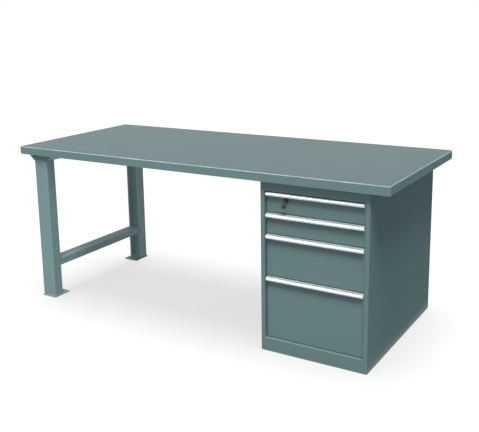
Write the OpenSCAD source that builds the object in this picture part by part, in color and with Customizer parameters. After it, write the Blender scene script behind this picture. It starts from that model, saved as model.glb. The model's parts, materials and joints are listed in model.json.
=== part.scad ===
// Steel workbench with a left leg frame and a right pedestal of four drawers.
// Origin at floor level under the middle of the worktop, +X to the right as
// seen from the drawer fronts, +Y to the back, +Z up. Millimetres.

/* [Worktop] */
// Length of the worktop
top_w = 2134; // [1900:1:2400]
// Depth of the worktop, front to back
top_d = 914; // [880:1:960]
// Height of the working surface above the floor
bench_h = 864; // [850:1:950]
// Depth of the worktop's apron
top_t = 42; // [36:1:60]
// Thickness of the worktop sheet
top_sheet = 2.7; // [2:0.1:3]
// Outside radius of the bend between the surface and the apron
top_bend_r = 5; // [4:0.5:8]
// Radius of the worktop's four upright corners
top_corner_r = 10; // [9:0.5:16]

/* [Leg frame] */
// Distance from the worktop's left end to the leg frame
leg_inset = 84; // [60:1:120]
// Width of each post, left to right
post_w = 88; // [80:1:100]
// Depth of each post, front to back
post_d = 63; // [55:1:75]
// Distance from the worktop's front edge to the front post
front_overhang = 24; // [22:1:40]
// Distance from the rear post to the worktop's rear edge
leg_rear_overhang = 47; // [30:1:90]
// Height of the front-to-back channel on top of the posts
head_h = 35; // [25:1:45]
// How far each side of that channel flares beyond the post
head_flare = 42; // [30:1:48]
// Height of the cross rail's top face above the floor
rail_top_z = 212; // [150:1:400]
// Width of the cross rail
rail_w = 76; // [60:1:76]
// Height of the cross rail
rail_h = 38; // [25:1:60]
// Length of each foot plate, front to back
foot_len = 117; // [100:1:140]
// Diameter of the floor anchor hole in each foot plate
anchor_d = 13; // [9:0.5:16]

/* [Pedestal] */
// Width of the pedestal
cab_w = 528; // [500:1:600]
// Distance from the pedestal to the worktop's right end
cab_inset = 92; // [60:1:120]
// Distance from the pedestal's back to the worktop's rear edge
cab_rear_overhang = 10; // [5:1:30]
// Width of each upright edge of the pedestal's face
stile_w = 20; // [20:0.5:24]
// Height of the plinth below the drawers
plinth_h = 64; // [60:1:90]

/* [Drawers] */
// Height of one drawer space unit
unit_h = 25.4; // [25:0.1:26]
// How far the drawer fronts sit behind the pedestal's face
front_recess = 15; // [12:0.5:18]
// How far each drawer slides out
travel = 680; // [300:10:680]
// How far each handle stands out from its drawer front
handle_out = 17; // [16:0.5:18]

/* [Hidden] */
$fn = 48;
eps = 0.01;
units = [4, 4, 8, 12];
drawer_count = len(units);

function sum(v, n) = n <= 0 ? 0 : v[n - 1] + sum(v, n - 1);

// Worktop and leg frame places
under_z = bench_h - top_t;
return_w = 15;
front_y = -top_d / 2 + front_overhang;
post_cx = -top_w / 2 + leg_inset + post_w / 2;
post_t = 3;
post_lip = 12;
post_bend_r = 5;
rear_post_back_y = top_d / 2 - leg_rear_overhang;
foot_t = 5;
foot_edge = 4;
head_z = under_z - head_h;
head_flange = 20;
head_end_gap = 0.2;
post_inner_y0 = front_y + post_d;
post_inner_y1 = rear_post_back_y - post_d;
anchor_inset = 25;
head_bolt_y = 300;
hat_t = 2;
hat_long_h = 36;
hat_long_w = 60;
hat_long_flange = 20;
hat_long_y = 230;
hat_cross_flange = 15;
hat_end_gap = 15;
hat_cross_end_gap = 2;
leg_hat_w = 2 * (post_w / 2 + head_flare + head_flange) + 6;
cab_hat_w = 60;
bolt_r = 5;
bolt_hole_r = 5.5;

// Pedestal places
cab_x1 = top_w / 2 - cab_inset;
cab_x0 = cab_x1 - cab_w;
cab_cx = (cab_x0 + cab_x1) / 2;
cab_y1 = top_d / 2 - cab_rear_overhang;
sheet = 2;
bend_r = 3;
seam = 0.4;
open_w = cab_w - 2 * stile_w;
open_h = unit_h * sum(units, drawer_count);
open_top_z = plinth_h + open_h + 1.8;
top_rail_h = under_z - open_top_z;
return_d = 20;
floor_flange = 25;
floor_panel_z = plinth_h - 12;
rail_flange_d = 34;
cab_bolt_x = cab_w / 2 - 45;
cab_bolt_y = 330;

// Drawer places
front_gap = 3;
front_w = open_w - 2 * front_gap;
front_face_y = front_y + front_recess;
front_d = 18;
front_t = 1.5;
front_bend_r = 3;
box_w = 450;
box_d = 750;
box_t = 1.5;
box_lift = 12;
box_clear = 26;
box_hem = 6;
box_y0 = front_face_y + front_d;
slot_pitch = 50;
slot_w = 2.5;
slot_margin = 8;
handle_w = front_w - 8;
handle_drop = front_gap / 2 + 0.2;
handle_h = 22;
handle_t = 2.2;
nose_r = 8.5;
nose_drop = 13.3;
nose_top_a = 65;
nose_lip_a = -60;
ledge_drop = nose_drop - nose_r * sin(nose_top_a);
ledge_reach = handle_out - nose_r + nose_r * cos(nose_top_a);
ledge_slope = atan(ledge_drop / ledge_reach);
rib_p = 2;
rib_w = 0.8;
rib_h = 1;
label_w = 8.6;
label_t = 0.8;
rivet_drop = 17;
rivet_r = 2;

// Telescopic slide places, measured inward from the side panel's inner face
upright_d = 10;
upright_w = 40;
upright_top_gap = 4;
upright_slot_w = 3;
upright_slot_h = 14;
upright_slot_z = 20;
upright_front_y = front_y + 26;
upright_rear_y = front_y + 720;
member_t = 1.5;
outer_s = upright_d;
outer_d = 16;
outer_h = 40;
mid_s = 19.5;
mid_d = 13.5;
mid_h = 36.2;
inner_d = 9;
inner_h = 32.6;
slide_lift = 42;
slide_len = 700;
outer_len = 760;
outer_lead = 4;
slide_y0 = front_face_y + front_d + 10;
inner_s = (cab_w - 2 * sheet - box_w) / 2 - inner_d;

// Lock and key places
lock_x = cab_x0 + 124;
lock_z = plinth_h + open_h - 38.2;
lock_face_r = 13;
barrel_r = 8.5;
barrel_hole_r = 9;
plug_r = 5;
plug_out = 1.2;
throw = 10;
cam_y = front_face_y + 9;
cam_t = 2;
pin_r = 1.8;
bolt_plate_t = 2.4;
bolt_plate_w = 22;
bolt_tongue_w = 12;
key_bow_y = front_face_y - 16.5;
key_bow_w = 21;
key_bow_l = 20;
key_bow_t = 2.6;
key_bow_corner_r = 4;
key_hole_r = 2.8;
key_hole_up = key_bow_l / 2 - 4.5;
key_hole_y = key_bow_y - key_hole_up;
ring_r = 7.4;
ring_wire_r = 0.7;
ring_drop = key_hole_r - ring_wire_r - 0.4;
ring_top_z = lock_z - ring_drop;
spare_drop = 0.6;
spare_turn = -45;
spare_hole_z = ring_top_z - 2 * ring_r - spare_drop;
spare_blade_l = 14;
key_blade_in = 4;
blade_w = 7;
blade_t = 1.8;

paint = [0.40, 0.49, 0.49];
alloy = [0.82, 0.84, 0.85];
zinc = [0.66, 0.68, 0.68];
black = [0.06, 0.06, 0.06];

// ---------------------------------------------------------------- shapes

module rounded_rect(w, d, r) {
    square([w - 2 * r, d], center = true);
    square([w, d - 2 * r], center = true);
    for (x = [-1, 1], y = [-1, 1])
        translate([x * (w / 2 - r), y * (d / 2 - r)])
            circle(r);
}

// Quarter-round section of a bent edge: reach outward along x, height along y
module bend_section(reach, r) {
    square([reach - r, r]);
    translate([reach - r, 0])
        intersection() {
            circle(r);
            square(r);
        }
}

// Block w by d by h with upright corners of corner_r and a rounded top edge
module bent_block(w, d, h, corner_r, r) {
    linear_extrude(h - r)
        rounded_rect(w, d, corner_r);
    translate([0, 0, h - r]) {
        linear_extrude(r)
            square([w - 2 * corner_r, d - 2 * corner_r], center = true);
        for (side = [0, 1])
            mirror([0, side, 0])
                translate([-w / 2 + corner_r, d / 2 - corner_r, 0])
                    rotate([90, 0, 90])
                        linear_extrude(w - 2 * corner_r)
                            bend_section(corner_r, r);
        for (side = [0, 1])
            mirror([side, 0, 0])
                translate([w / 2 - corner_r, d / 2 - corner_r, 0])
                    rotate([90, 0, 0])
                        linear_extrude(d - 2 * corner_r)
                            bend_section(corner_r, r);
        for (x = [0, 1], y = [0, 1])
            mirror([x, 0, 0])
                mirror([0, y, 0])
                    translate([w / 2 - corner_r, d / 2 - corner_r, 0])
                        rotate_extrude(angle = 90)
                            bend_section(corner_r, r);
    }
}

// Tray of folded sheet, open underneath
module folded_tray(w, d, h, corner_r, r, t) {
    difference() {
        bent_block(w, d, h, corner_r, r);
        translate([0, 0, -1])
            bent_block(w - 2 * t, d - 2 * t, h - t + 1, corner_r - t, r - t);
    }
}

// Hat-shaped channel section, crown down, height along y
module hat_section(crown, h, flange) {
    translate([-crown / 2, 0])
        square([crown, hat_t]);
    for (side = [0, 1])
        mirror([side, 0]) {
            translate([crown / 2 - hat_t, 0])
                square([hat_t, h]);
            translate([crown / 2 - hat_t, h - hat_t])
                square([flange, hat_t]);
        }
}

// Channel section with the web along y = 0 and flanges reaching to y = d
module channel_section(w, d, t) {
    difference() {
        translate([-w / 2, 0])
            square([w, d]);
        translate([-w / 2 + t, t])
            square([w - 2 * t, d]);
    }
}

module hex_bolt(r, grip, head_h) {
    // Head under the joint, shank up through it, nut on top
    translate([0, 0, -head_h])
        cylinder(r = 1.8 * r, h = head_h, $fn = 6);
    translate([0, 0, -eps])
        cylinder(r = r, h = grip + 1.6 * r + 4);
    translate([0, 0, grip])
        cylinder(r = 1.8 * r, h = 1.6 * r, $fn = 6);
}

// ---------------------------------------------------------------- worktop

module worktop_shell() {
    color(paint) {
        translate([0, 0, under_z])
            folded_tray(top_w, top_d, top_t, top_corner_r, top_bend_r, top_sheet);
        // Return flange along the apron's lower edge
        translate([0, 0, under_z])
            linear_extrude(top_sheet)
                difference() {
                    rounded_rect(top_w - top_sheet, top_d - top_sheet, top_corner_r - top_sheet / 2);
                    square([top_w - 2 * top_sheet - 2 * return_w,
                            top_d - 2 * top_sheet - 2 * return_w], center = true);
                }
    }
}

module worktop_long_stiffeners() {
    x0 = post_cx + leg_hat_w / 2 + 2 * hat_end_gap;
    x1 = cab_x0 - hat_end_gap;
    z = bench_h - top_sheet - hat_long_h;
    color(paint)
        for (y = [-hat_long_y, 0, hat_long_y])
            translate([x0, y, z])
                rotate([90, 0, 90])
                    linear_extrude(x1 - x0)
                        hat_section(hat_long_w, hat_long_h, hat_long_flange);
}

module cross_channel(cx, crown, bolt_dx, bolt_y) {
    len_y = top_d - 2 * (top_sheet + return_w + hat_cross_end_gap);
    translate([cx, 0, under_z])
        difference() {
            translate([0, len_y / 2, 0])
                rotate([90, 0, 0])
                    linear_extrude(len_y)
                        hat_section(crown, top_t - top_sheet, hat_cross_flange);
            for (x = bolt_dx, y = bolt_y)
                translate([x, y, -1])
                    cylinder(r = bolt_hole_r, h = hat_t + 2);
        }
}

module worktop_cross_channels() {
    color(paint) {
        cross_channel(post_cx, leg_hat_w, head_bolt_x(), [-head_bolt_y, head_bolt_y]);
        for (side = [-1, 1])
            cross_channel(cab_cx + side * cab_bolt_x, cab_hat_w, [0], [-cab_bolt_y, cab_bolt_y]);
    }
}

// ---------------------------------------------------------------- leg frame

function head_bolt_x() = [-1, 1] * (post_w / 2 + head_flare + head_flange / 2);

module head_section() {
    run = head_flare * post_t / head_h;
    slant = post_t * sqrt(pow(head_flare, 2) + pow(head_h, 2)) / head_h;
    foot = post_w / 2;
    brim = post_w / 2 + head_flare;
    translate([-foot, 0])
        square([post_w, post_t]);
    for (side = [0, 1])
        mirror([side, 0]) {
            polygon([[foot, 0], [brim, head_h], [brim - slant, head_h],
                     [foot + run - slant, post_t], [foot + run - slant, 0]]);
            translate([brim - slant, head_h - post_t])
                square([head_flange + slant, post_t]);
        }
}

module head_end_plate() {
    foot = post_w / 2;
    brim = post_w / 2 + head_flare;
    rotate([90, 0, 0])
        linear_extrude(post_t)
            polygon([[-foot, 0], [foot, 0], [brim, head_h - head_end_gap],
                     [-brim, head_h - head_end_gap]]);
}

module leg_head_channel() {
    color(paint)
        translate([post_cx, 0, head_z]) {
            difference() {
                translate([0, rear_post_back_y, 0])
                    rotate([90, 0, 0])
                        linear_extrude(rear_post_back_y - front_y)
                            head_section();
                for (x = head_bolt_x(), y = [-head_bolt_y, head_bolt_y])
                    translate([x, y, head_h - post_t - 1])
                        cylinder(r = bolt_hole_r, h = post_t + 2);
            }
            for (y = [front_y + post_t, rear_post_back_y])
                translate([0, y, 0])
                    head_end_plate();
        }
}

module post_section() {
    // Web along y = 0, open side at y = post_d, with two turned-in lips
    difference() {
        translate([0, post_d / 2])
            rounded_rect(post_w, post_d, post_bend_r);
        translate([0, post_d / 2])
            rounded_rect(post_w - 2 * post_t, post_d - 2 * post_t, post_bend_r - post_t);
        translate([-post_w / 2 + post_lip, post_d / 2])
            square([post_w - 2 * post_lip, post_d]);
    }
}

module post(back_y, flip) {
    translate([post_cx, back_y, foot_t])
        mirror([0, flip, 0])
            linear_extrude(head_z - foot_t)
                post_section();
}

module front_post() {
    color(paint)
        post(front_y, 0);
}

module rear_post() {
    color(paint)
        post(rear_post_back_y, 1);
}

module leg_cross_rail() {
    color(paint)
        translate([post_cx, post_inner_y1, rail_top_z])
            rotate([90, 0, 0])
                linear_extrude(post_inner_y1 - post_inner_y0)
                    mirror([0, 1])
                        channel_section(rail_w, rail_h, 2.5);
}

module foot_plate() {
    // Outer edge at y = 0, anchor hole near the inner edge
    difference() {
        translate([0, foot_len / 2, 0])
            linear_extrude(foot_t)
                rounded_rect(post_w + 2 * foot_edge, foot_len, 3);
        translate([0, foot_len - anchor_inset, -1])
            cylinder(d = anchor_d, h = foot_t + 2);
    }
}

module front_foot_plate() {
    color(paint)
        translate([post_cx, front_y - foot_edge, 0])
            foot_plate();
}

module rear_foot_plate() {
    color(paint)
        translate([post_cx, rear_post_back_y + foot_edge, 0])
            mirror([0, 1, 0])
                foot_plate();
}

module leg_bolts() {
    color(zinc)
        for (x = head_bolt_x(), y = [-head_bolt_y, head_bolt_y])
            translate([post_cx + x, y, under_z - post_t])
                hex_bolt(bolt_r, post_t + hat_t, 6);
}

// ---------------------------------------------------------------- pedestal

// Left side panel as a plan section: stile, side, rear flange
module side_section() {
    d = cab_y1 - front_y;
    difference() {
        translate([0, front_y])
            union() {
                translate([bend_r, 0])
                    square([stile_w - bend_r, d]);
                translate([0, bend_r])
                    square([stile_w, d - 2 * bend_r]);
                for (y = [bend_r, d - bend_r])
                    translate([bend_r, y])
                        circle(bend_r);
            }
        translate([sheet, front_y + sheet])
            square([stile_w - 2 * sheet, d - 2 * sheet]);
        translate([sheet, front_y + return_d])
            square([stile_w, d - return_d - sheet]);
    }
}

module side_panel() {
    difference() {
        union() {
            linear_extrude(under_z)
                side_section();
            // Turned-in flange that stands on the floor
            translate([sheet / 2, front_y + return_d + 1, 0])
                cube([floor_flange, cab_y1 - front_y - return_d - 2 * sheet - 1, sheet]);
        }
        // The top rail covers the face above the drawers
        translate([-1, front_y - 1, open_top_z - seam])
            cube([stile_w + 2, return_d + 2, under_z]);
    }
}

module pedestal_side_left() {
    color(paint)
        translate([cab_x0, 0, 0])
            side_panel();
}

module pedestal_side_right() {
    color(paint)
        translate([cab_x1, 0, 0])
            mirror([1, 0, 0])
                side_panel();
}

module pedestal_back() {
    color(paint)
        translate([cab_x0 + 2 * sheet, cab_y1 - 2 * sheet, sheet])
            cube([cab_w - 4 * sheet, sheet, under_z - 3 * sheet]);
}

module pedestal_floor_panel() {
    z = floor_panel_z;
    y0 = front_y + return_d + 4;
    color(paint) {
        translate([cab_x0 + sheet, y0, z])
            cube([cab_w - 2 * sheet, cab_y1 - 2 * sheet - 1 - y0, sheet]);
        for (x = [cab_x0 + sheet, cab_x1 - 2 * sheet])
            translate([x, y0, z - 20])
                cube([sheet, cab_y1 - 2 * sheet - 1 - y0, 20 + eps]);
    }
}

module pedestal_top_panel() {
    color(paint)
        difference() {
            translate([cab_x0 + sheet, front_y + sheet, under_z - sheet])
                cube([cab_w - 2 * sheet, cab_y1 - front_y - 3 * sheet, sheet]);
            for (x = [-1, 1], y = [-1, 1])
                translate([cab_cx + x * cab_bolt_x, y * cab_bolt_y, under_z - sheet - 1])
                    cylinder(r = bolt_hole_r, h = sheet + 2);
        }
}

module pedestal_top_rail() {
    // Folded rail across the whole face, with a slot for the lock bolt
    color(paint)
        difference() {
            translate([0, front_y, open_top_z])
                union() {
                    translate([cab_x0 + bend_r, 0, 0])
                        cube([cab_w - 2 * bend_r, sheet, top_rail_h - eps]);
                    translate([cab_x0 + stile_w / 2, 0, 0])
                        cube([cab_w - stile_w, rail_flange_d, sheet]);
                    for (side = [0, 1])
                        translate([cab_cx, 0, 0])
                            mirror([side, 0, 0])
                                translate([cab_w / 2 - bend_r, bend_r, 0])
                                    difference() {
                                        cylinder(r = bend_r, h = top_rail_h - eps);
                                        cylinder(r = bend_r - sheet, h = 3 * top_rail_h, center = true);
                                        translate([-2 * bend_r, 0, -1])
                                            cube([4 * bend_r, 2 * bend_r, top_rail_h + 2]);
                                        translate([-2 * bend_r, -2 * bend_r, -1])
                                            cube([2 * bend_r, 4 * bend_r, top_rail_h + 2]);
                                    }
                    for (x = [cab_x0, cab_x1 - sheet])
                        translate([x, bend_r, 0])
                            cube([sheet, return_d - bend_r, top_rail_h - eps]);
                }
            translate([lock_x, cam_y + cam_t, open_top_z])
                cube([bolt_tongue_w + 4, 2 * bolt_plate_t + 4, 3 * sheet], center = true);
        }
}

module pedestal_plinth() {
    color(paint)
        translate([cab_x0 + stile_w + seam / 2, front_y, 0]) {
            cube([open_w - seam, sheet, plinth_h]);
            translate([0, 0, plinth_h - sheet])
                cube([open_w - seam, return_d, sheet]);
            cube([open_w - seam, return_d, sheet]);
        }
}

module slide_uprights() {
    z0 = floor_panel_z + sheet;
    z1 = open_top_z - upright_top_gap;
    slot_n = floor((z1 - z0 - 2 * upright_slot_z) / (2 * unit_h));
    color(zinc)
        translate([cab_cx, 0, 0])
            for (side = [0, 1], y = [upright_front_y, upright_rear_y])
                mirror([side, 0, 0])
                    translate([cab_w / 2 - sheet - upright_d, y, z0])
                        difference() {
                            cube([upright_d, upright_w, z1 - z0]);
                            translate([member_t, member_t, -1])
                                cube([upright_d, upright_w - 2 * member_t, z1 - z0 + 2]);
                            for (k = [0:slot_n])
                                translate([-1, (upright_w - upright_slot_w) / 2, upright_slot_z + 2 * unit_h * k])
                                    cube([member_t + 2, upright_slot_w, upright_slot_h]);
                        }
}

// ---------------------------------------------------------------- slides

function cell_z(i) = plinth_h + open_h - unit_h * sum(units, i);
function cell_h(i) = unit_h * units[i - 1];
function slide_z(i) = cell_z(i) + slide_lift;

// A pair of channel slide members at distance s from the side panels,
// open towards the drawer when flip is 0 and towards the panel when it is 1
module slide_pair(s, d, h, y0, len_y, z, flip) {
    translate([cab_cx, 0, z])
        for (side = [0, 1])
            mirror([side, 0, 0])
                translate([cab_w / 2 - sheet - s - (flip == 1 ? d : 0), y0, 0])
                    mirror([flip == 1 ? 0 : 1, 0, 0])
                        rotate([0, -90, -90])
                            linear_extrude(len_y)
                                channel_section(h, d, member_t);
}

module slide_outer_members() {
    color(zinc)
        for (i = [1:drawer_count])
            slide_pair(outer_s, outer_d, outer_h, slide_y0 - outer_lead, outer_len, slide_z(i), 0);
}

module middle_members(i) {
    color(zinc)
        slide_pair(mid_s, mid_d, mid_h, slide_y0, slide_len, slide_z(i), 0);
}

module inner_members(i) {
    color(zinc)
        slide_pair(inner_s, inner_d, inner_h, slide_y0, slide_len, slide_z(i), 1);
}

module pedestal_bolts() {
    color(zinc)
        for (x = [-1, 1], y = [-1, 1])
            translate([cab_cx + x * cab_bolt_x, y * cab_bolt_y, under_z - sheet])
                hex_bolt(bolt_r, sheet + hat_t, 6);
}

module drawer_bumpers() {
    // Rubber buffer in each outer member, behind the middle member's end
    buffer_r = 8;
    color(black)
        translate([cab_cx, slide_y0 + slide_len + 0.5 + buffer_r, 0])
            for (side = [0, 1], i = [1:drawer_count])
                mirror([side, 0, 0])
                    translate([cab_w / 2 - sheet - outer_s - outer_d + 1, 0, slide_z(i)])
                        rotate([0, 90, 0])
                            cylinder(r = buffer_r, h = outer_d - member_t - 1);
}

// ---------------------------------------------------------------- drawers

module drawer_front(i) {
    h = cell_h(i) - front_gap;
    lip = 25;
    color(paint)
        translate([cab_cx, front_face_y + front_d, cell_z(i) + cell_h(i) / 2])
            difference() {
                rotate([90, 0, 0])
                    union() {
                        folded_tray(front_w, h, front_d, front_bend_r + 1, front_bend_r, front_t);
                        linear_extrude(front_t)
                            difference() {
                                square([front_w - front_t, h - front_t], center = true);
                                square([front_w - 2 * lip, h - 2 * lip], center = true);
                            }
                    }
                if (i == 1)
                    translate([lock_x - cab_cx, 0, lock_z - cell_z(i) - cell_h(i) / 2]) {
                        rotate([90, 0, 0])
                            translate([0, 0, front_d / 2])
                                cylinder(r = barrel_hole_r, h = front_d);
                        translate([0, cam_y + cam_t - front_face_y - front_d, h / 2])
                            cube([bolt_tongue_w + 2, 2 * bolt_plate_t + 2, h], center = true);
                    }
            }
}

module drawer_box(i) {
    h = cell_h(i) - box_clear;
    slot_h = h - 4 * slot_margin;
    color(paint)
        translate([cab_cx, box_y0, cell_z(i) + box_lift])
            difference() {
                translate([-box_w / 2, 0, 0])
                    cube([box_w, box_d, h]);
                translate([-box_w / 2 + box_t, box_t, box_t])
                    cube([box_w - 2 * box_t, box_d - 2 * box_t, h - box_t - 2 * box_t]);
                translate([-box_w / 2 + box_hem, box_hem, box_t])
                    cube([box_w - 2 * box_hem, box_d - 2 * box_hem, h]);
                // Partition slots in the side walls
                for (k = [1:floor(box_d / slot_pitch) - 1])
                    translate([0, k * slot_pitch, slot_h / 2 + 2.5 * slot_margin])
                        cube([box_w + 2, slot_w, slot_h], center = true);
            }
}

function arc(cx, cy, r, a0, a1, n) =
    [for (k = [0:n]) [cx + r * cos(a0 + (a1 - a0) * k / n), cy + r * sin(a0 + (a1 - a0) * k / n)]];

// Point p along the sloping ledge and q above it
function on_ledge(p, q) =
    [p * cos(ledge_slope) + q * sin(ledge_slope), q * cos(ledge_slope) - p * sin(ledge_slope)];

// Outline of a square rib that starts p along the ledge
function ledge_rib(p) =
    [on_ledge(p, 0), on_ledge(p, rib_h), on_ledge(p + rib_w, rib_h), on_ledge(p + rib_w, 0)];

// Full-width pull, as a section: reach from the front along x, height along y
module handle_section() {
    nose_x = handle_out - nose_r;
    inner_r = nose_r - handle_t;
    polygon(concat(
        [[0, 0]],
        ledge_rib(rib_p),
        ledge_rib(rib_p + rib_w + label_w + 0.4),
        arc(nose_x, -nose_drop, nose_r, nose_top_a, nose_lip_a, 30),
        arc(nose_x, -nose_drop, inner_r, nose_lip_a, nose_top_a, 20),
        [[handle_t, -1.7 * handle_t], [handle_t, -handle_h], [0, -handle_h]]
    ));
}

module at_handle(i) {
    translate([cab_cx - handle_w / 2, front_face_y, cell_z(i) + cell_h(i) - handle_drop])
        rotate([90, 0, -90])
            mirror([0, 0, 1])
                children();
}

module drawer_handle(i) {
    color(alloy)
        difference() {
            at_handle(i)
                linear_extrude(handle_w)
                    handle_section();
            for (k = [-1.5:1:1.5])
                translate([cab_cx + k * handle_w / 4, front_face_y + 1, cell_z(i) + cell_h(i) - rivet_drop])
                    rotate([90, 0, 0])
                        cylinder(r = rivet_r + 0.1, h = handle_t + 2);
        }
}

module drawer_label_strip(i) {
    color([0.62, 0.64, 0.64])
        at_handle(i)
            rotate(-ledge_slope)
                translate([rib_p + rib_w + 0.2, 0.05, 4])
                    linear_extrude(handle_w - 8)
                        square([label_w, label_t]);
}

module handle_rivets(i) {
    color(zinc)
        for (k = [-1.5:1:1.5])
            translate([cab_cx + k * handle_w / 4, front_face_y, cell_z(i) + cell_h(i) - rivet_drop])
                rotate([90, 0, 0]) {
                    cylinder(r = rivet_r, h = handle_t + 0.5);
                    translate([0, 0, handle_t])
                        cylinder(r = 1.7 * rivet_r, h = 1.2);
                }
}

// ---------------------------------------------------------------- lock

module lock_body() {
    // Barrel through the drawer front with a raised round face
    color(black)
        translate([lock_x, front_face_y, lock_z])
            rotate([90, 0, 0])
                difference() {
                    union() {
                        translate([0, 0, -7])
                            cylinder(r = barrel_r, h = 8);
                        cylinder(r = lock_face_r, h = 2);
                        translate([0, 0, 2])
                            cylinder(r1 = lock_face_r, r2 = lock_face_r - 1.5, h = 1, $fn = 64);
                    }
                    translate([0, 0, -20])
                        cylinder(r = plug_r + 0.05, h = 40);
                }
}

module lock_plug() {
    // Turning plug with a key slot
    color([0.78, 0.72, 0.5])
        translate([lock_x, front_face_y, lock_z])
            rotate([90, 0, 0])
                difference() {
                    translate([0, 0, -7])
                        cylinder(r = plug_r, h = 10 + plug_out);
                    translate([0, 0, 2])
                        cube([blade_t, blade_w, 12], center = true);
                }
}

module lock_cam() {
    // Crank behind the plug: its pin lifts the bolt
    color(zinc)
        translate([lock_x, cam_y, lock_z]) {
            rotate([90, 0, 0])
                cylinder(r = 6, h = cam_t);
            translate([0, -cam_t, -4])
                cube([throw, cam_t, 8]);
            translate([throw, 0, 0])
                rotate([90, 0, 0])
                    cylinder(r = 4, h = cam_t);
            translate([throw, 3, 0])
                rotate([90, 0, 0])
                    cylinder(r = pin_r, h = 3 + eps);
        }
}

module lock_bolt() {
    // Sliding bolt with a cross slot for the crank pin and a tongue on top
    tongue_top = open_top_z - front_gap - 2.5;
    color(zinc)
        translate([lock_x, cam_y + 0.4, lock_z])
            difference() {
                union() {
                    translate([-bolt_plate_w / 2 + 4, 0, -9])
                        cube([bolt_plate_w, bolt_plate_t, 18]);
                    translate([-bolt_tongue_w / 2, 0, 0])
                        cube([bolt_tongue_w, bolt_plate_t, tongue_top - lock_z]);
                }
                translate([-2.5, -1, -pin_r - 2.4])
                    cube([throw + 5, bolt_plate_t + 2, 2 * (pin_r + 2.4)]);
            }
}

// Moulded key head in the plane x = 0, with its hole below the middle
module key_head_shape() {
    difference() {
        rotate([90, 0, 90])
            linear_extrude(key_bow_t, center = true)
                rounded_rect(key_bow_w, key_bow_l, key_bow_corner_r);
        translate([0, 0, -key_hole_up])
            rotate([0, 90, 0])
                cylinder(r = key_hole_r, h = key_bow_t + 2, center = true);
        translate([-blade_t / 2, -blade_w / 2, key_bow_l / 2 - 3])
            cube([blade_t, blade_w, 4]);
    }
}

// Blade that starts inside the head and reaches len beyond it
module key_blade_shape(len) {
    play = 0.15;
    translate([-blade_t / 2 + play, -blade_w / 2 + 2 * play, key_bow_l / 2 - 3 + play])
        cube([blade_t - 2 * play, blade_w - 4 * play, len + 3 - play]);
}

module at_key() {
    translate([lock_x, key_bow_y, lock_z])
        rotate([-90, 0, 0])
            children();
}

module at_spare_key() {
    translate([lock_x, key_hole_y, spare_hole_z - key_hole_up])
        rotate([180, 0, spare_turn])
            children();
}

module key_head() {
    color(black)
        at_key()
            key_head_shape();
}

module key_blade() {
    color(zinc)
        at_key()
            key_blade_shape(front_face_y + key_blade_in - key_bow_y - key_bow_l / 2);
}

module key_ring() {
    color(zinc)
        translate([lock_x, key_hole_y, ring_top_z - ring_r])
            rotate([90, 0, 0])
                rotate_extrude()
                    translate([ring_r, 0])
                        circle(ring_wire_r, $fn = 20);
}

module spare_key_head() {
    color(black)
        at_spare_key()
            key_head_shape();
}

module spare_key_blade() {
    color(zinc)
        at_spare_key()
            key_blade_shape(spare_blade_l);
}

// ---------------------------------------------------------------- nodes

worktop_shell();
worktop_long_stiffeners();
worktop_cross_channels();
leg_head_channel();
front_post();
rear_post();
leg_cross_rail();
front_foot_plate();
rear_foot_plate();
leg_bolts();
pedestal_side_left();
pedestal_side_right();
pedestal_back();
pedestal_floor_panel();
pedestal_top_panel();
pedestal_top_rail();
pedestal_plinth();
slide_uprights();
slide_outer_members();
pedestal_bolts();
drawer_bumpers();
for (i = [1:drawer_count]) {
    drawer_front(i);
    drawer_box(i);
    drawer_handle(i);
    drawer_label_strip(i);
    inner_members(i);
    middle_members(i);
    handle_rivets(i);
}
lock_body();
lock_plug();
lock_cam();
lock_bolt();
key_head();
key_blade();
key_ring();
spare_key_head();
spare_key_blade();
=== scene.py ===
"""Looks of the steel workbench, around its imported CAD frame. Metres; +X right, +Y back, +Z up."""

import json
import math

import bmesh
import bpy
from mathutils import Matrix, Vector


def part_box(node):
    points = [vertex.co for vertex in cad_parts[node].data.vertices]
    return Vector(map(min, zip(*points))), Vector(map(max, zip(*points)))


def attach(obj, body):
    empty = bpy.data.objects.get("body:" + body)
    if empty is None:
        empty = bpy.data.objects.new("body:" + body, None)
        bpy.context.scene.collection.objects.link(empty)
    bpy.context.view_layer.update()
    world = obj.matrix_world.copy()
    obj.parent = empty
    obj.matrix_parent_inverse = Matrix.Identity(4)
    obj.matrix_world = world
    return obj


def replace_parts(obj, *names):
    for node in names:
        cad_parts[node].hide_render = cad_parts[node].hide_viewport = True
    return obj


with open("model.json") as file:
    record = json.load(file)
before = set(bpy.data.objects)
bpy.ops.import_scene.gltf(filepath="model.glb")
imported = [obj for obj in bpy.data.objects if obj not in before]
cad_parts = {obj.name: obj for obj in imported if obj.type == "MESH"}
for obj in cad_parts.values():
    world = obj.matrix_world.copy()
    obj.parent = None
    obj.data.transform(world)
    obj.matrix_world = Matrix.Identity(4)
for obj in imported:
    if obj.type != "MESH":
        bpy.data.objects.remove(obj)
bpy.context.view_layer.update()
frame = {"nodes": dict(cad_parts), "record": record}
MM = 0.001

# ------------------------------------------------------------------ colours, linear
PAINT = (0.083, 0.150, 0.157)
# Paler paint for scuffs, and for edges and bends, where it is partly wear and partly a painted
# highlight
PAINT_WEAR_AND_HIGHLIGHT = (0.200, 0.262, 0.262)
# Much paler worktop edge colour: mostly a painted highlight along the worktop's bends, also used for
# its scuffs
WORKTOP_WEAR_AND_HIGHLIGHT = (0.42, 0.50, 0.50)
ALLOY = (0.60, 0.665, 0.675)
ZINC = (0.55, 0.57, 0.57)
LOCK_METAL = (0.35, 0.36, 0.37)
STEEL = (0.48, 0.49, 0.49)
KEY_STEEL_SHADE = 0.5
LABEL = (0.16, 0.18, 0.185)
BLACK = (0.012, 0.012, 0.013)
RUBBER = (0.02, 0.02, 0.02)
WHITE = (1.0, 1.0, 1.0)
KEY_TINT = (1.0, 0.90, 0.88)
RIM_TINT = (0.80, 1.0, 1.0)
FLOOR = (0.30, 0.30, 0.30)

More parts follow.
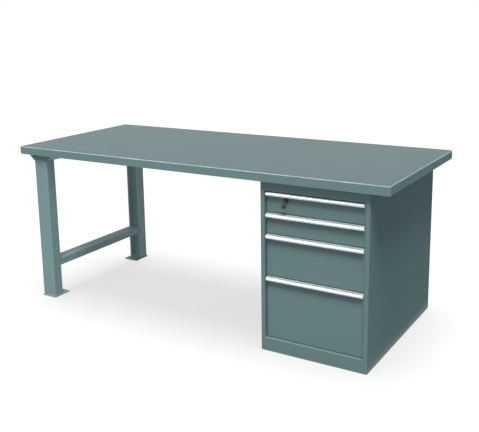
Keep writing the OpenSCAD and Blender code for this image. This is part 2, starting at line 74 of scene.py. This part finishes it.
# Strengths: the floor's own glow, the part of it that lights the bench, and the sky
FLOOR_GLOW = 0.67
FLOOR_BOUNCE = 0.08
SKY = 0.30
SKY_GLOSS = 0.6

SCUFF_WEAR = 0.5
LEG_NODES = ("front_post", "rear_post", "leg_cross_rail", "front_foot_plate", "rear_foot_plate")


# ------------------------------------------------------------------ node helpers
class Nodes:
    """A material's node tree, built one call at a time."""

    def __init__(self, name):
        self.material = bpy.data.materials.new(name)
        self.material.use_nodes = True
        self.tree = self.material.node_tree
        self.tree.nodes.clear()
        self.output = self.add("ShaderNodeOutputMaterial")
        self.place = self.add("ShaderNodeTexCoord").outputs["Object"]

    def add(self, kind, **settings):
        node = self.tree.nodes.new(kind)
        for key, value in settings.items():
            setattr(node, key, value)
        return node

    def join(self, source, target):
        self.tree.links.new(source, target)

    def stretched(self, scale):
        """The object's own coordinates, times scale along each axis."""
        mapping = self.add("ShaderNodeMapping")
        mapping.inputs["Scale"].default_value = scale
        self.join(self.place, mapping.inputs["Vector"])
        return mapping.outputs["Vector"]

    def noise(self, scale, detail=3.0, roughness=0.5, vector=None):
        node = self.add("ShaderNodeTexNoise")
        node.inputs["Scale"].default_value = scale
        node.inputs["Detail"].default_value = detail
        node.inputs["Roughness"].default_value = roughness
        self.join(vector or self.place, node.inputs["Vector"])
        return node.outputs["Fac"]

    def cells(self, scale, feature="F1", vector=None):
        node = self.add("ShaderNodeTexVoronoi", feature=feature)
        node.inputs["Scale"].default_value = scale
        self.join(vector or self.place, node.inputs["Vector"])
        return node

    def ramp(self, value, low, high, to_low=0.0, to_high=1.0):
        """value from low..high mapped to to_low..to_high, and held at both ends."""
        node = self.add("ShaderNodeMapRange", clamp=True)
        limits = (("From Min", low), ("From Max", high), ("To Min", to_low), ("To Max", to_high))
        for name, number in limits:
            node.inputs[name].default_value = number
        self.join(value, node.inputs["Value"])
        return node.outputs["Result"]

    def math(self, operation, a, b):
        node = self.add("ShaderNodeMath", operation=operation)
        for socket, value in zip(node.inputs, (a, b)):
            if isinstance(value, float):
                socket.default_value = value
            else:
                self.join(value, socket)
        return node.outputs[0]

    def mix(self, factor, a, b):
        """Colour a where factor is 0 and b where it is 1."""
        node = self.add("ShaderNodeMix", data_type="RGBA", clamp_factor=True)
        self.join(factor, node.inputs["Factor"])
        for socket, colour in ((node.inputs[6], a), (node.inputs[7], b)):
            if isinstance(colour, tuple):
                socket.default_value = (*colour, 1.0)
            else:
                self.join(colour, socket)
        return node.outputs[2]

    def bump(self, height, strength, distance, normal=None):
        node = self.add("ShaderNodeBump")
        node.inputs["Strength"].default_value = strength
        node.inputs["Distance"].default_value = distance
        self.join(height, node.inputs["Height"])
        if normal:
            self.join(normal, node.inputs["Normal"])
        return node.outputs["Normal"]

    def soft_edges(self, radius):
        """The normal as if every sharp edge were rounded by radius."""
        node = self.add("ShaderNodeBevel", samples=6)
        node.inputs["Radius"].default_value = radius
        return node.outputs["Normal"]

    def edge_mask(self, rounded):
        """1 along sharp edges and 0 on flats, from a rounded normal."""
        flat = self.add("ShaderNodeNewGeometry").outputs["Normal"]
        dot = self.add("ShaderNodeVectorMath", operation="DOT_PRODUCT")
        self.join(rounded, dot.inputs[0])
        self.join(flat, dot.inputs[1])
        return self.ramp(dot.outputs["Value"], 0.80, 0.995, 1.0, 0.0)

    def bend_mask(self, rounded):
        """1 on bends that face partly up or partly down, and 0 on level and upright faces; it places a
        painted highlight along such bends.
        """
        split = self.add("ShaderNodeSeparateXYZ")
        self.join(rounded, split.inputs[0])
        tilt = self.math("ABSOLUTE", split.outputs["Z"], 0.0)
        return self.math("MULTIPLY", self.ramp(tilt, 0.15, 0.45), self.ramp(tilt, 0.80, 0.97, 1.0, 0.0))

    def surface(self, colour, roughness, normal=None, **constants):
        """Ends the tree in a Principled shader. Constants go straight onto its sockets."""
        shader = self.add("ShaderNodeBsdfPrincipled")
        for socket, value in (("Base Color", colour), ("Roughness", roughness), ("Normal", normal)):
            if value is not None:
                self.join(value, shader.inputs[socket])
        for socket, value in constants.items():
            shader.inputs[socket.replace("_", " ")].default_value = value
        self.join(shader.outputs[0], self.output.inputs["Surface"])
        return self.material


def shade(colour, factor):
    return tuple(c * factor for c in colour)


# ------------------------------------------------------------------ materials
def powder_coat(name, wear_and_highlight_colour):
    """Satin powder coat: orange-peel skin, faint cloudiness, hairline scuffs, and paler edges and bends
    that are partly rubbed wear and partly a painted highlight.
    """
    m = Nodes(name)
    rounded = m.soft_edges(0.0011)
    cloud = m.noise(2.3, detail=4.0, roughness=0.6)
    speck = m.noise(900.0, detail=1.0)
    colour = m.mix(m.ramp(cloud, 0.3, 0.7), shade(PAINT, 0.985), shade(PAINT, 1.015))
    colour = m.mix(m.ramp(speck, 0.25, 0.75, 0.0, 0.22), colour, shade(PAINT, 0.82))
    warped = m.add("ShaderNodeVectorMath", operation="ADD")
    m.join(m.stretched((1.0, 0.22, 1.0)), warped.inputs[0])
    m.join(m.cells(1.7).outputs["Color"], warped.inputs[1])
    hairline = m.cells(26.0, "DISTANCE_TO_EDGE", warped.outputs[0]).outputs["Distance"]
    patches = m.ramp(m.noise(5.0, detail=2.0), 0.55, 0.75)
    scuff = m.math("MULTIPLY", m.ramp(hairline, 0.0, 0.012, 1.0, 0.0), patches)
    # Edges and bends are painted paler: partly rubbed wear, partly a painted highlight where light
    # would catch them
    edges = m.math("MAXIMUM", m.edge_mask(rounded), m.bend_mask(rounded))
    rubbed_and_lit_edges = m.math("MULTIPLY", edges, m.ramp(m.noise(45.0), 0.3, 0.7, 0.35, 0.85))
    wear_and_highlight = m.math("MAXIMUM", m.math("MULTIPLY", scuff, SCUFF_WEAR), rubbed_and_lit_edges)
    colour = m.mix(wear_and_highlight, colour, wear_and_highlight_colour)
    rough = m.ramp(m.noise(7.0, detail=5.0, roughness=0.65), 0.25, 0.75, 0.42, 0.46)
    rough = m.math("ADD", rough, m.math("MULTIPLY", scuff, 0.15))
    peel = m.noise(420.0, detail=2.0, roughness=0.4)
    wave = m.noise(55.0, detail=1.0)
    normal = m.bump(peel, 0.22, 0.00012, rounded)
    normal = m.bump(wave, 0.03, 0.0004, normal)
    return m.surface(colour, rough, normal, Specular_IOR_Level=0.36)


def alloy_extrusion():
    """Satin anodised aluminium with die lines along its length."""
    m = Nodes("handle_alloy")
    lines = m.noise(1.0, detail=3.0, vector=m.stretched((6.0, 1900.0, 1900.0)))
    smudge = m.noise(14.0, detail=4.0, roughness=0.6)
    colour = m.mix(m.ramp(lines, 0.3, 0.7), shade(ALLOY, 0.93), ALLOY)
    colour = m.mix(m.ramp(smudge, 0.45, 0.8, 0.0, 0.35), colour, shade(ALLOY, 0.80))
    rough = m.math("ADD", m.ramp(lines, 0.2, 0.8, 0.24, 0.34), m.ramp(smudge, 0.4, 0.8, 0.0, 0.10))
    normal = m.bump(lines, 0.25, 0.00004, m.soft_edges(0.0005))
    return m.surface(colour, rough, normal, Metallic=0.5)


def zinc_plate(name, colour_of):
    """Plated steel with a fine spangle and rolling lines."""
    m = Nodes(name)
    spangle = m.cells(260.0).outputs["Distance"]
    lines = m.noise(1.0, detail=2.0, vector=m.stretched((900.0, 9.0, 900.0)))
    tint = m.noise(30.0, detail=3.0)
    colour = m.mix(m.ramp(spangle, 0.1, 0.8), colour_of, shade(colour_of, 0.78))
    colour = m.mix(m.ramp(tint, 0.4, 0.7, 0.0, 0.4), colour, shade(colour_of, 0.70))
    rough = m.math("ADD", m.ramp(spangle, 0.0, 0.8, 0.26, 0.40), m.ramp(lines, 0.3, 0.7, 0.0, 0.10))
    normal = m.bump(lines, 0.2, 0.00003)
    return m.surface(colour, rough, normal, Metallic=1.0)


def moulded(name, colour_of, rough_low, rough_high, grain):
    """Moulded plastic or rubber with a fine grain and handling marks."""
    m = Nodes(name)
    skin = m.noise(grain, detail=2.0)
    marks = m.noise(60.0, detail=5.0, roughness=0.7)
    colour = m.mix(m.ramp(marks, 0.45, 0.75), colour_of, shade(colour_of, 1.5))
    rough = m.ramp(marks, 0.3, 0.7, rough_low, rough_high)
    normal = m.bump(skin, 0.3, 0.00005)
    return m.surface(colour, rough, normal, Specular_IOR_Level=0.5)


def label_insert():
    """Blank strip in the handle's ledge: grey plastic, dusty in patches, brushed along its length."""
    m = Nodes("label_plastic")
    streak = m.noise(1.0, detail=4.0, vector=m.stretched((11.0, 700.0, 700.0)))
    dust = m.noise(38.0, detail=3.0)
    colour = m.mix(m.ramp(streak, 0.35, 0.65), shade(LABEL, 0.72), shade(LABEL, 1.15))
    colour = m.mix(m.ramp(dust, 0.5, 0.75, 0.0, 0.35), colour, shade(LABEL, 1.5))
    rough = m.ramp(dust, 0.3, 0.7, 0.32, 0.5)
    return m.surface(colour, rough, m.bump(streak, 0.2, 0.00005), Specular_IOR_Level=0.5)


def studio_floor():
    """Pale floor that glows to the camera and in reflections, and hardly lights what stands on it."""
    m = Nodes("studio_floor")
    shader = m.add("ShaderNodeBsdfPrincipled")
    shader.inputs["Base Color"].default_value = (*FLOOR, 1.0)
    shader.inputs["Roughness"].default_value = 0.9
    shader.inputs["Emission Color"].default_value = (*WHITE, 1.0)
    path = m.add("ShaderNodeLightPath").outputs["Is Diffuse Ray"]
    m.join(m.ramp(path, 0.0, 1.0, FLOOR_GLOW, FLOOR_BOUNCE), shader.inputs["Emission Strength"])
    m.join(shader.outputs[0], m.output.inputs["Surface"])
    return m.material


MATERIALS = {
    "painted_steel": powder_coat("painted_steel", PAINT_WEAR_AND_HIGHLIGHT),
    "handle_alloy": alloy_extrusion(),
    "zinc_steel": zinc_plate("zinc_steel", ZINC),
    "label_plastic": label_insert(),
    "lock_chrome": zinc_plate("lock_chrome", LOCK_METAL),
    "key_plastic": moulded("key_plastic", BLACK, 0.35, 0.5, 1500.0),
    "key_steel": zinc_plate("key_steel", shade(STEEL, KEY_STEEL_SHADE)),
    "buffer_rubber": moulded("buffer_rubber", RUBBER, 0.6, 0.8, 900.0),
}
SLOT_OF = {part["node"]: part["material_slot"] for part in frame["record"]["subparts"]}

for cad_node, solid in frame["nodes"].items():
    solid.data.materials.clear()
    solid.data.materials.append(MATERIALS[SLOT_OF[cad_node]])

# The same paint on the worktop, painted much paler along its edges and bends: mostly a painted
# highlight, partly rubbed wear
worktop = frame["nodes"]["worktop_shell"]
worktop.data.materials[0] = powder_coat("worktop_paint", WORKTOP_WEAR_AND_HIGHLIGHT)


# ------------------------------------------------------------------ extra pieces
def add_piece(name, mesh, body, slot):
    piece = bpy.data.objects.new(name, mesh)
    bpy.context.scene.collection.objects.link(piece)
    piece.data.materials.append(MATERIALS[slot])
    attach(piece, body)
    return piece


WELD_STEP = 0.7 * MM
WELD_RIPPLE = 3.2 * MM
WELD_SIDES = 10
WELD_R = 2.2 * MM
WELD_INSET = 6 * MM


def weld_bead(bm, start, end, outward):
    """A rippled fillet from start to end in the corner that outward points out of."""
    start, end, outward = Vector(start), Vector(end), Vector(outward).normalized()
    run = end - start
    along = run.normalized()
    across = along.cross(outward)
    count = max(6, round(run.length / WELD_STEP))
    rings = []
    for k in range(count + 1):
        t = k / count
        ripple = 1.0 + 0.13 * math.sin(2.0 * math.pi * run.length * t / WELD_RIPPLE)
        taper = min(1.0, 0.45 + 0.55 * min(t, 1.0 - t) * run.length / (2.0 * WELD_R))
        place = start + run * t
        ring = []
        for j in range(WELD_SIDES):
            angle = 2.0 * math.pi * j / WELD_SIDES
            offset = outward * math.cos(angle) + across * math.sin(angle)
            ring.append(bm.verts.new(place + offset * (WELD_R * taper * ripple)))
        rings.append(ring)
    for first, second in zip(rings, rings[1:]):
        for j in range(WELD_SIDES):
            nxt = (j + 1) % WELD_SIDES
            bm.faces.new((first[j], first[nxt], second[nxt], second[j]))
    bm.faces.new(rings[0][::-1])
    bm.faces.new(rings[-1])


def make_welds():
    """Beads of the leg frame: cross rail to posts, and posts to foot plates."""
    bm = bmesh.new()
    rail_lo, rail_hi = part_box("leg_cross_rail")
    for y, inward in ((rail_lo[1], 1.0), (rail_hi[1], -1.0)):
        for x, side in ((rail_lo[0], -1.0), (rail_hi[0], 1.0)):
            low, high = (x, y, rail_lo[2] + 2 * MM), (x, y, rail_hi[2] - 1 * MM)
            weld_bead(bm, low, high, (side, inward, 0.0))
    for end, front in (("front", 1.0), ("rear", -1.0)):
        lo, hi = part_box(end + "_post")
        plate_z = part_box(end + "_foot_plate")[1][2]
        outer_y = lo[1] if front > 0 else hi[1]
        left, right = lo[0] + WELD_INSET, hi[0] - WELD_INSET
        weld_bead(bm, (left, outer_y, plate_z), (right, outer_y, plate_z), (0.0, -front, 1.0))
        for x, side in ((lo[0], -1.0), (hi[0], 1.0)):
            near, far = lo[1] + WELD_INSET, hi[1] - WELD_INSET
            weld_bead(bm, (x, near, plate_z), (x, far, plate_z), (side, 0.0, 1.0))
    bmesh.ops.recalc_face_normals(bm, faces=bm.faces)
    mesh = bpy.data.meshes.new("leg_weld_beads")
    bm.to_mesh(mesh)
    bm.free()
    mesh.shade_smooth()
    add_piece("leg_weld_beads", mesh, "root", "painted_steel")


def rounded_outline(width, length, radius, steps=6):
    """Counter-clockwise rounded rectangle about the origin."""
    points = []
    for cx, cy, turn in ((1, 1, 0), (-1, 1, 90), (-1, -1, 180), (1, -1, 270)):
        for k in range(steps + 1):
            angle = math.radians(turn + 90.0 * k / steps)
            points.append((cx * (width / 2 - radius) + radius * math.cos(angle),
                           cy * (length / 2 - radius) + radius * math.sin(angle)))
    return points


def round_outline(radius, centre_y, steps=28):
    """Circle about (0, centre_y)."""
    turns = [2 * math.pi * k / steps for k in range(steps)]
    return [(radius * math.cos(turn), centre_y + radius * math.sin(turn)) for turn in turns]


def plate(outlines, thickness, edge):
    """Flat plate with rounded edges. The first outline is its edge and the others are holes."""
    data = bpy.data.curves.new("plate", "CURVE")
    data.dimensions = "2D"
    data.fill_mode = "BOTH"
    data.extrude = thickness / 2 - edge
    data.bevel_depth = edge
    data.bevel_resolution = 2
    data.offset = -edge
    for outline in outlines:
        spline = data.splines.new("POLY")
        spline.points.add(len(outline) - 1)
        for point, (x, y) in zip(spline.points, outline):
            point.co = (x, y, 0.0, 1.0)
        spline.use_cyclic_u = True
    curve = bpy.data.objects.new("plate", data)
    bpy.context.scene.collection.objects.link(curve)
    mesh = bpy.data.meshes.new_from_object(curve.evaluated_get(bpy.context.evaluated_depsgraph_get()))
    bpy.data.objects.remove(curve)
    bpy.data.curves.remove(data)
    return mesh


def joined(name, meshes, place):
    """One mesh from several, moved to place."""
    bm = bmesh.new()
    for mesh in meshes:
        bm.from_mesh(mesh)
        bpy.data.meshes.remove(mesh)
    bmesh.ops.transform(bm, matrix=place, verts=bm.verts)
    out = bpy.data.meshes.new(name)
    bm.to_mesh(out)
    bm.free()
    out.materials.clear()
    return out


BOW_W, BOW_L, BOW_T = 21 * MM, 20 * MM, 2.6 * MM
BOW_CORNER = 4 * MM
BOW_RIM = 2.2 * MM
BOW_WEB_T = 1.5 * MM
KEY_HOLE_R = 2.8 * MM
KEY_HOLE_DOWN = 5.5 * MM
COLLAR = 1.4 * MM
BLADE_W, BLADE_T = 6.3 * MM, 1.5 * MM
BITTING = (0.6, 1.5, 0.9, 1.9, 1.2)
SPARE_TURN = 45.0


def middle_of(lo, hi):
    return Matrix.Translation([(a + b) / 2 for a, b in zip(lo, hi)])


def key_bow(name, place):
    """Moulded head with a raised rim and a collar round its hole, in the XY plane of place."""
    rim = rounded_outline(BOW_W - 2 * BOW_RIM, BOW_L - 2 * BOW_RIM, BOW_CORNER - BOW_RIM)
    hole = round_outline(KEY_HOLE_R, -KEY_HOLE_DOWN)
    web = rounded_outline(BOW_W - BOW_RIM, BOW_L - BOW_RIM, BOW_CORNER - BOW_RIM / 2)
    parts = [
        plate([rounded_outline(BOW_W, BOW_L, BOW_CORNER), rim], BOW_T, 0.35 * MM),
        plate([web, hole], BOW_WEB_T, 0.1 * MM),
        plate([round_outline(KEY_HOLE_R + COLLAR, -KEY_HOLE_DOWN), hole], BOW_T, 0.25 * MM),
    ]
    return joined(name, parts, place)


def key_blade(name, length, place):
    """Bitted blade from the head's edge along +Y, with its cuts along one side."""
    start, half = BOW_L / 2 - 2.5 * MM, BLADE_W / 2
    pitch = (length - 3 * MM) / (len(BITTING) + 1)
    outline = [(-half, start), (half, start), (half, BOW_L / 2 + 1.5 * MM)]
    for k, cut in enumerate(BITTING):
        y = BOW_L / 2 + 2 * MM + pitch * (k + 0.5)
        outline += [(half - cut * MM, y - 0.2 * pitch), (half - cut * MM, y + 0.2 * pitch)]
    tip = BOW_L / 2 + length
    outline += [(half - 0.4 * MM, tip - 2 * MM), (0.5 * MM, tip - 0.1 * MM), (-half, tip - 1.6 * MM)]
    return joined(name, [plate([outline], BLADE_T, 0.12 * MM)], place)


def make_keys():
    """Both keys in finer detail, each where its CAD solid is."""
    lo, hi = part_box("key_head")
    upright = Matrix(((0, 0, 1, 0), (0, 1, 0, 0), (-1, 0, 0, 0), (0, 0, 0, 1)))
    in_lock = middle_of(lo, hi) @ upright
    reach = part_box("key_blade")[1][1] - hi[1]
    bow = key_bow("key_bow_moulding", in_lock)
    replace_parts(add_piece("key_bow_moulding", bow, "lock", "key_plastic"), "key_head")
    blade = key_blade("key_bitted_blade", reach, in_lock)
    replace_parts(add_piece("key_bitted_blade", blade, "lock", "key_steel"), "key_blade")

    lo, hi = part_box("spare_key_head")
    turned = Matrix.Rotation(math.radians(SPARE_TURN), 4, "Z")
    hanging = middle_of(lo, hi) @ turned @ Matrix.Rotation(-math.pi / 2, 4, "X")
    reach = lo[2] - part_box("spare_key_blade")[0][2]
    bow = key_bow("spare_key_bow_moulding", hanging)
    piece = add_piece("spare_key_bow_moulding", bow, "spare_key", "key_plastic")
    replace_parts(piece, "spare_key_head")
    blade = key_blade("spare_key_bitted_blade", reach, hanging)
    piece = add_piece("spare_key_bitted_blade", blade, "spare_key", "key_steel")
    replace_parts(piece, "spare_key_blade")


make_welds()
make_keys()


# ------------------------------------------------------------------ stage, camera, light
FLOOR_REACH = 40.0


def make_floor():
    mesh = bpy.data.meshes.new("floor")
    corners = [(x * FLOOR_REACH, y * FLOOR_REACH, 0.0) for x, y in ((-1, -1), (1, -1), (1, 1), (-1, 1))]
    mesh.from_pydata(corners, [], [(0, 1, 2, 3)])
    floor = bpy.data.objects.new("floor", mesh)
    bpy.context.scene.collection.objects.link(floor)
    floor.data.materials.append(studio_floor())
    return floor


def make_flag():
    """Dark card to the right, seen only in reflections, so that the pedestal's side stays deep."""
    mesh = bpy.data.meshes.new("flag")
    near, x, front, back, foot, height = 0.99, 1.13, -0.6, 4.0, 2 * MM, 1.2
    corners = [(near, front, foot), (near, back, foot), (x, back, foot), (x, front, foot)]
    corners += [(x, back, height), (x, front, height)]
    mesh.from_pydata(corners, [], [(0, 1, 2, 3), (3, 2, 4, 5)])
    flag = bpy.data.objects.new("flag", mesh)
    bpy.context.scene.collection.objects.link(flag)
    card = Nodes("flag")
    tone = card.mix(card.noise(3.0), BLACK, RUBBER)
    flag.data.materials.append(card.surface(tone, card.ramp(card.noise(5.0), 0.0, 1.0, 0.8, 0.9)))
    for ray in ("camera", "diffuse", "shadow", "transmission"):
        setattr(flag, f"visible_{ray}", False)


def make_camera():
    """At the reference view: to the right of the bench and above it, looking back and left."""
    data = bpy.data.cameras.new("camera")
    data.sensor_width = 36.0
    data.lens = 56.29
    data.shift_x = 0.0283
    data.shift_y = -0.0948
    camera = bpy.data.objects.new("camera", data)
    yaw, pitch, roll = 0.5613, 0.2083, -0.0189
    turn = Matrix.Rotation(yaw, 4, "Z") @ Matrix.Rotation(math.pi / 2 - pitch, 4, "X")
    turn = turn @ Matrix.Rotation(roll, 4, "Z")
    camera.matrix_world = Matrix.Translation((2.0777, -3.3149, 1.5685)) @ turn
    bpy.context.scene.collection.objects.link(camera)
    bpy.context.scene.camera = camera


def area_light(name, place, target, size, watts):
    data = bpy.data.lights.new(name, "AREA")
    data.shape = "RECTANGLE"
    data.size, data.size_y = size
    data.energy = watts
    light = bpy.data.objects.new(name, data)
    light.location = place
    light.rotation_mode = "QUATERNION"
    light.rotation_quaternion = (Vector(target) - Vector(place)).to_track_quat("-Z", "Y")
    bpy.context.scene.collection.objects.link(light)
    return light


def sun_light(name, towards, spread, strength, colour, state, *linked):
    """Distant light from the direction towards, soft-edged by its spread in degrees.

    It lights only the linked pieces (INCLUDE), or all but them (EXCLUDE).
    """
    data = bpy.data.lights.new(name, "SUN")
    data.energy = strength
    data.color = colour
    data.angle = math.radians(spread)
    light = bpy.data.objects.new(name, data)
    light.rotation_mode = "QUATERNION"
    light.rotation_quaternion = Vector(towards).to_track_quat("Z", "Y")
    bpy.context.scene.collection.objects.link(light)
    receivers = bpy.data.collections.new(name + "_receivers")
    for k, receiver in enumerate(linked):
        receivers.objects.link(receiver)
        receivers.collection_objects[k].light_linking.link_state = state
    light.light_linking.receiver_collection = receivers
    return light


def make_world():
    """White to the camera and in reflections, and a dimmer sky for the light that it sheds."""
    world = bpy.data.worlds.new("studio")
    world.use_nodes = True
    nodes, links = world.node_tree.nodes, world.node_tree.links
    sky = nodes["Background"]
    seen = nodes.new("ShaderNodeBackground")
    for background, strength in ((sky, SKY), (seen, 1.0)):
        background.inputs["Color"].default_value = (*WHITE, 1.0)
        background.inputs["Strength"].default_value = strength
    pick = nodes.new("ShaderNodeMixShader")
    path = nodes.new("ShaderNodeLightPath")
    share = nodes.new("ShaderNodeMath")
    share.operation = "MULTIPLY_ADD"
    share.inputs[1].default_value = SKY_GLOSS
    links.new(path.outputs["Is Glossy Ray"], share.inputs[0])
    links.new(path.outputs["Is Camera Ray"], share.inputs[2])
    links.new(share.outputs[0], pick.inputs["Fac"])
    links.new(sky.outputs[0], pick.inputs[1])
    links.new(seen.outputs[0], pick.inputs[2])
    links.new(pick.outputs[0], nodes["World Output"].inputs["Surface"])
    bpy.context.scene.world = world


make_flag()
make_camera()
make_world()
floor = make_floor()

# The reference's light differs from region to region, so the worktop, the leg frame and the floor
# have lights of their own, and the two fills cast no shadow.
sun_light("key", (0.73, -1.65, 4.0), 22.0, 6.7, KEY_TINT, "EXCLUDE", floor, worktop)
sun_light("worktop_key", (1.72, -2.75, 3.3), 12.0, 4.7, KEY_TINT, "INCLUDE", worktop)
side_fill = sun_light("side_fill", (1.0, -0.1, 0.1), 20.0, 0.75, WHITE, "EXCLUDE", floor)
side_fill.data.use_shadow = False
leg_parts = [frame["nodes"][node] for node in LEG_NODES]
leg_fill = sun_light("leg_fill", (1.4, -1.63, 1.68), 20.0, 2.9, KEY_TINT, "INCLUDE", *leg_parts)
leg_fill.data.use_shadow = False
sun_light("overhead", (0.1, 0.2, 5.0), 42.0, 3.0, WHITE, "INCLUDE", floor)
area_light("fill", (0.8, -3.0, 0.9), (-0.9, -0.4, 0.3), (1.2, 0.8), 3.0)

# The rim sheds no diffuse light. It gives the handles their highlight.
rim = area_light("rim", (-2.4, -3.4, 3.6), (0.2, -0.4, 0.8), (2.2, 1.6), 260.0)
rim.visible_diffuse = False
rim.data.color = RIM_TINT
bpy.context.scene.view_settings.view_transform = "Standard"
